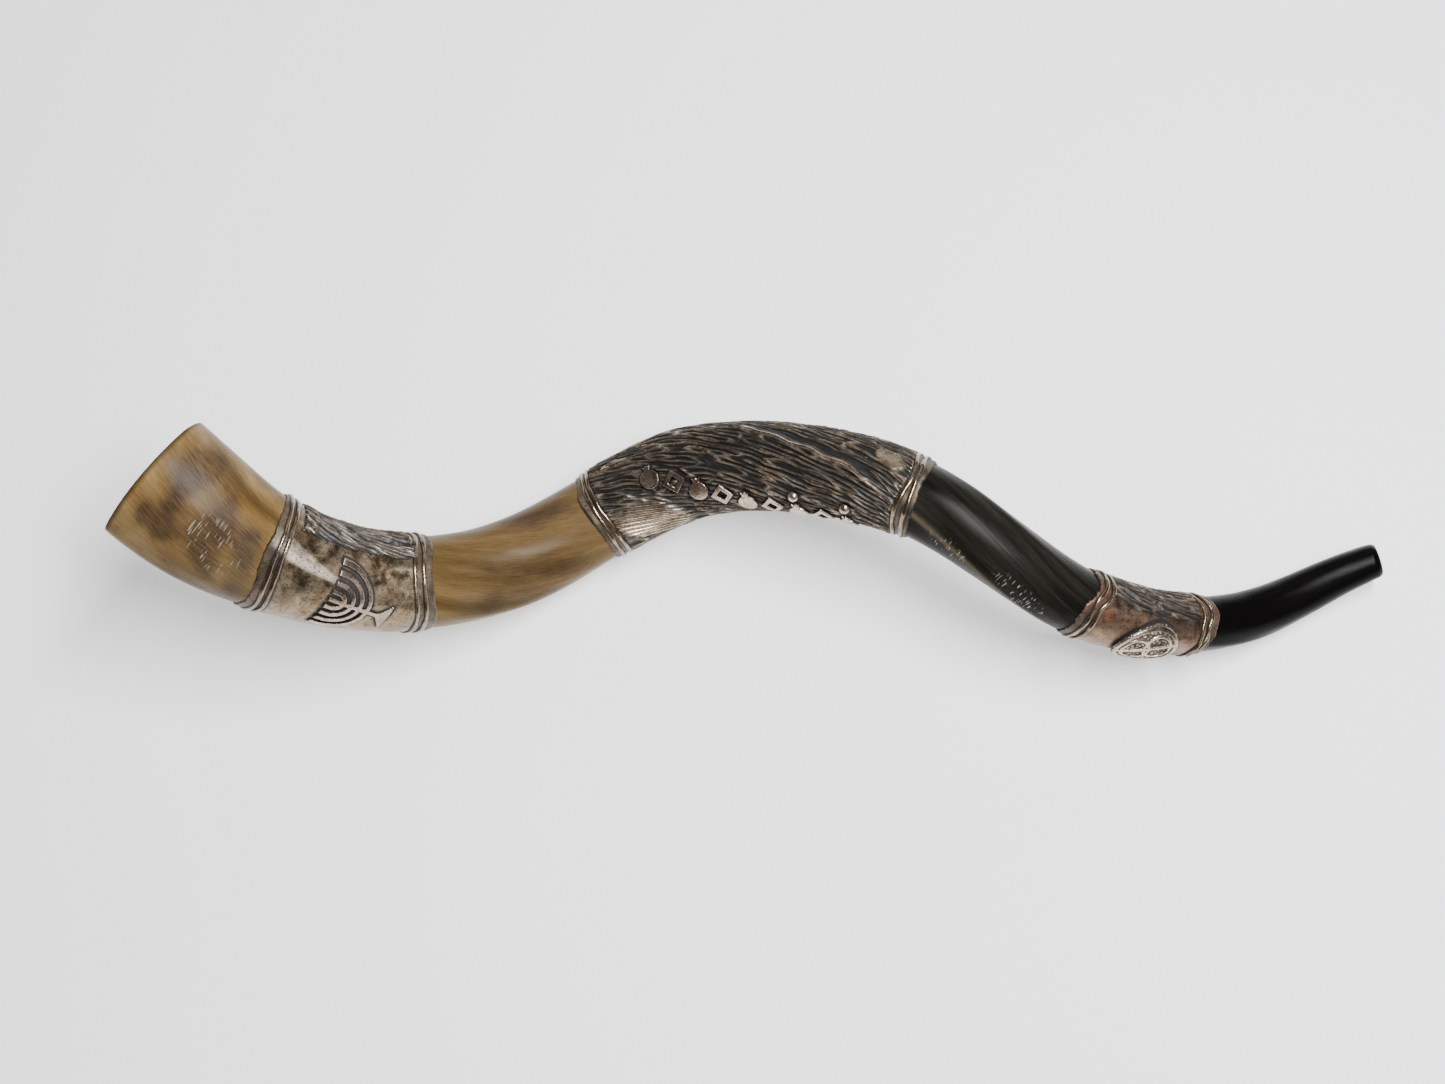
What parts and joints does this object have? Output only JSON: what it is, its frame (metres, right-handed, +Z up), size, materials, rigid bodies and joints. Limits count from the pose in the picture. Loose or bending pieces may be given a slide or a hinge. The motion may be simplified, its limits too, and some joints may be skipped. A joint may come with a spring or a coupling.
{
  "type": "shofar",
  "caption": "Long corkscrew horn trumpet with a flared bell, dressed in three cast silver sleeves with bark texture, candelabrum, medallion and a row of small ornaments.",
  "frame": {"origin": "centre of the overall box on the surface the horn lies on", "axes": "+X from the bell towards the mouth end, +Z up from the surface it lies on"},
  "size_m": [0.704, 0.1386, 0.1617],
  "materials": {
    "horn": "polished natural horn, tan at the bell to black at the mouth end",
    "resin": "hard filled resin",
    "antique_silver": "antiqued electroformed silver, mottled, semi-gloss",
    "bark_silver": "antiqued silver with blackened recesses",
    "polished_silver": "rubbed bright on the top faces, dark in the gaps"
  },
  "bodies": {
    "root": {"bell_bark_panel": "bark_silver", "bell_sleeve": "antique_silver", "bell_sleeve_bed": "resin", "bell_sleeve_wire_1": "antique_silver", "bell_sleeve_wire_2": "antique_silver", "bell_sleeve_wire_3": "antique_silver", "bell_sleeve_wire_4": "antique_silver", "cast_bead_1": "polished_silver", "cast_bead_2": "polished_silver", "horn": "horn", "lozenge_ornament_1": "polished_silver", "lozenge_ornament_2": "polished_silver", "lozenge_ornament_3": "polished_silver", "lozenge_ornament_4": "polished_silver", "menorah": "polished_silver", "middle_bark_wrap": "bark_silver", "middle_sleeve": "antique_silver", "middle_sleeve_bed": "resin", "middle_sleeve_wire_1": "antique_silver", "middle_sleeve_wire_2": "antique_silver", "middle_sleeve_wire_3": "antique_silver", "middle_sleeve_wire_4": "antique_silver", "oval_medallion": "polished_silver", "pomegranate_ornament_1": "polished_silver", "pomegranate_ornament_2": "polished_silver", "pomegranate_ornament_3": "polished_silver", "pomegranate_ornament_4": "polished_silver", "pomegranate_ornament_5": "polished_silver", "tip_bark_panel": "bark_silver", "tip_sleeve": "antique_silver", "tip_sleeve_bed": "resin", "tip_sleeve_wire_1": "antique_silver", "tip_sleeve_wire_2": "antique_silver", "tip_sleeve_wire_3": "antique_silver", "tip_sleeve_wire_4": "antique_silver"}
  },
  "joints": []
}
